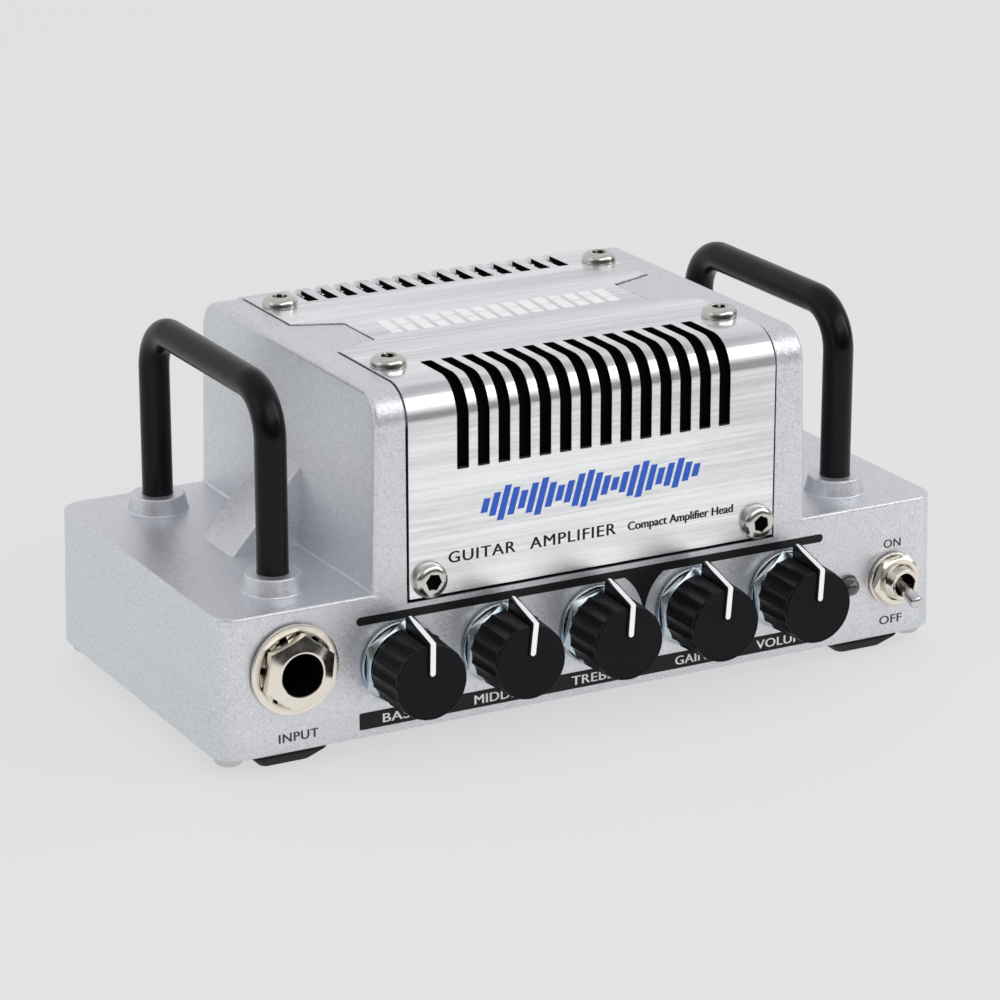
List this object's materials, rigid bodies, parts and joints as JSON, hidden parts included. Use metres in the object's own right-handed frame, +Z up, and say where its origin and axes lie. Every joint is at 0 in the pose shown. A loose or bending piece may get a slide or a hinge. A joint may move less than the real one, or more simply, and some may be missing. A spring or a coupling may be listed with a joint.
{
  "type": "guitar amplifier head",
  "caption": "Palm-sized solid-state guitar amplifier head: cast silver housing, slotted brushed cover, bent-rod handles, rotary controls, input jack, lamp and toggle switch.",
  "frame": {"origin": "bottom centre of the bounding box, on the surface the feet stand on", "axes": "+X to the object's right seen from the front, -Y out of the control panel, +Z up"},
  "size_m": [0.128, 0.078, 0.0586],
  "materials": {
    "silver_paint": "fine metallic paint on a casting",
    "brushed_aluminium": "brushed along the width",
    "black_lacquer": "smooth black coating",
    "black_plastic": "satin moulded",
    "socket_plastic": "moulded with plated bushing",
    "nickel": "bright nickel plate",
    "steel": "stainless, bright",
    "dark_steel": "dark pressed steel",
    "zinc": "blue zinc plate",
    "rubber": "matt moulded",
    "board": "solder mask",
    "lens": "clear moulded"
  },
  "bodies": {
    "housing": {"chassis_shell": "silver_paint", "vent_cover": "brushed_aluminium", "base_plate": "dark_steel", "vent_liner": "dark_steel", "cover_screw_top_front_left": "steel", "cover_screw_top_front_right": "steel", "cover_screw_top_rear_left": "steel", "cover_screw_top_rear_right": "steel", "cover_screw_front_left": "steel", "cover_screw_front_right": "steel", "cover_screw_rear_left": "steel", "cover_screw_rear_right": "steel", "base_screw_front_left": "steel", "base_screw_front_right": "steel", "base_screw_rear_left": "steel", "base_screw_rear_right": "steel", "foot_front_left": "rubber", "foot_front_right": "rubber", "foot_rear_left": "rubber", "foot_rear_right": "rubber", "handle_left": "black_lacquer", "handle_right": "black_lacquer", "pot_body_bass": "dark_steel", "pot_washer_bass": "zinc", "pot_nut_bass": "zinc", "pot_body_middle": "dark_steel", "pot_washer_middle": "zinc", "pot_nut_middle": "zinc", "pot_body_treble": "dark_steel", "pot_washer_treble": "zinc", "pot_nut_treble": "zinc", "pot_body_gain": "dark_steel", "pot_washer_gain": "zinc", "pot_nut_gain": "zinc", "pot_body_volume": "dark_steel", "pot_washer_volume": "zinc", "pot_nut_volume": "zinc", "input_jack": "socket_plastic", "speaker_jack": "socket_plastic", "loop_jack": "socket_plastic", "phones_jack": "socket_plastic", "dc_jack": "socket_plastic", "input_jack_nut": "nickel", "input_jack_washer": "nickel", "power_switch_body": "nickel", "power_switch_nut": "nickel", "power_switch_washer": "nickel", "power_led": "lens", "main_board": "board"},
    "bass_control": {"knob_bass": "black_plastic", "pot_shaft_bass": "steel"},
    "middle_control": {"knob_middle": "black_plastic", "pot_shaft_middle": "steel"},
    "treble_control": {"knob_treble": "black_plastic", "pot_shaft_treble": "steel"},
    "gain_control": {"knob_gain": "black_plastic", "pot_shaft_gain": "steel"},
    "volume_control": {"knob_volume": "black_plastic", "pot_shaft_volume": "steel"},
    "power_toggle": {"power_lever": "nickel"}
  },
  "joints": [
    {"name": "bass_turn", "type": "hinge", "parent": "housing", "child": "bass_control", "pos_m": [-0.0341, -0.02803, 0.0145], "axis": [0, 1, 0], "range_deg": [-151, 149]},
    {"name": "middle_turn", "type": "hinge", "parent": "housing", "child": "middle_control", "pos_m": [-0.017, -0.02803, 0.0145], "axis": [0, 1, 0], "range_deg": [-156.3, 143.7]},
    {"name": "treble_turn", "type": "hinge", "parent": "housing", "child": "treble_control", "pos_m": [0.0001, -0.02803, 0.0145], "axis": [0, 1, 0], "range_deg": [-153.9, 146.1]},
    {"name": "gain_turn", "type": "hinge", "parent": "housing", "child": "gain_control", "pos_m": [0.0172, -0.02803, 0.0145], "axis": [0, 1, 0], "range_deg": [-154.8, 145.2]},
    {"name": "volume_turn", "type": "hinge", "parent": "housing", "child": "volume_control", "pos_m": [0.0343, -0.02803, 0.0145], "axis": [0, 1, 0], "range_deg": [-153.3, 146.7]},
    {"name": "power_switch", "type": "hinge", "parent": "housing", "child": "power_toggle", "pos_m": [0.0548, -0.02923, 0.01285], "axis": [-1, 0, 0], "range_deg": [0, 34.4]}
  ]
}
